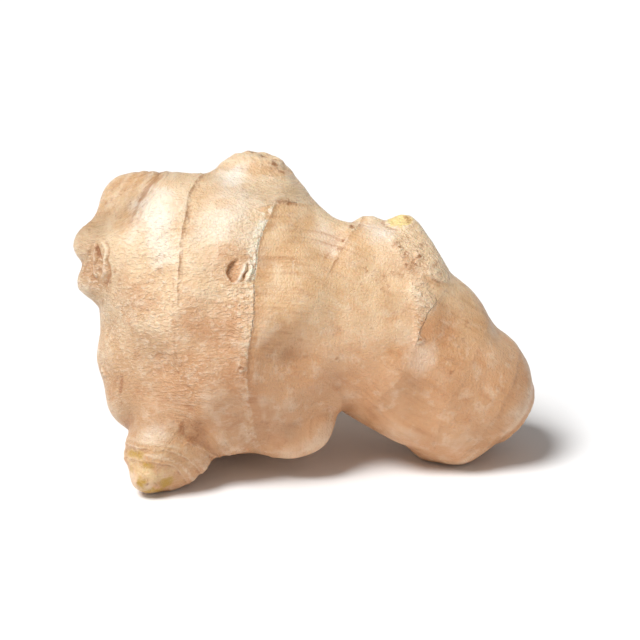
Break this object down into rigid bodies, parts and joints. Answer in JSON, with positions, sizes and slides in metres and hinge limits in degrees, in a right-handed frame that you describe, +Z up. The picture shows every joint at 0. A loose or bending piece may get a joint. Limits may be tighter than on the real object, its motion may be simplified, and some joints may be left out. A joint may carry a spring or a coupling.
{
  "type": "ginger root",
  "caption": "Fresh whole ginger rhizome, a thick knobbly palm with a stubby finger, buds, leaf-scar rings and root scars, lying on low points of its underside.",
  "frame": {"origin": "on the surface that it lies on, below the middle of its bounding box", "axes": "+X along the finger, away from the palm; +Z up; the broad front of the palm faces -Y and leans back a little"},
  "size_m": [0.1018, 0.0561, 0.0667],
  "materials": {
    "skin": "thin, papery, pale tan skin with fine crepe wrinkles and a soft satin sheen"
  },
  "bodies": {
    "root": {"rhizome": "skin"}
  },
  "joints": []
}
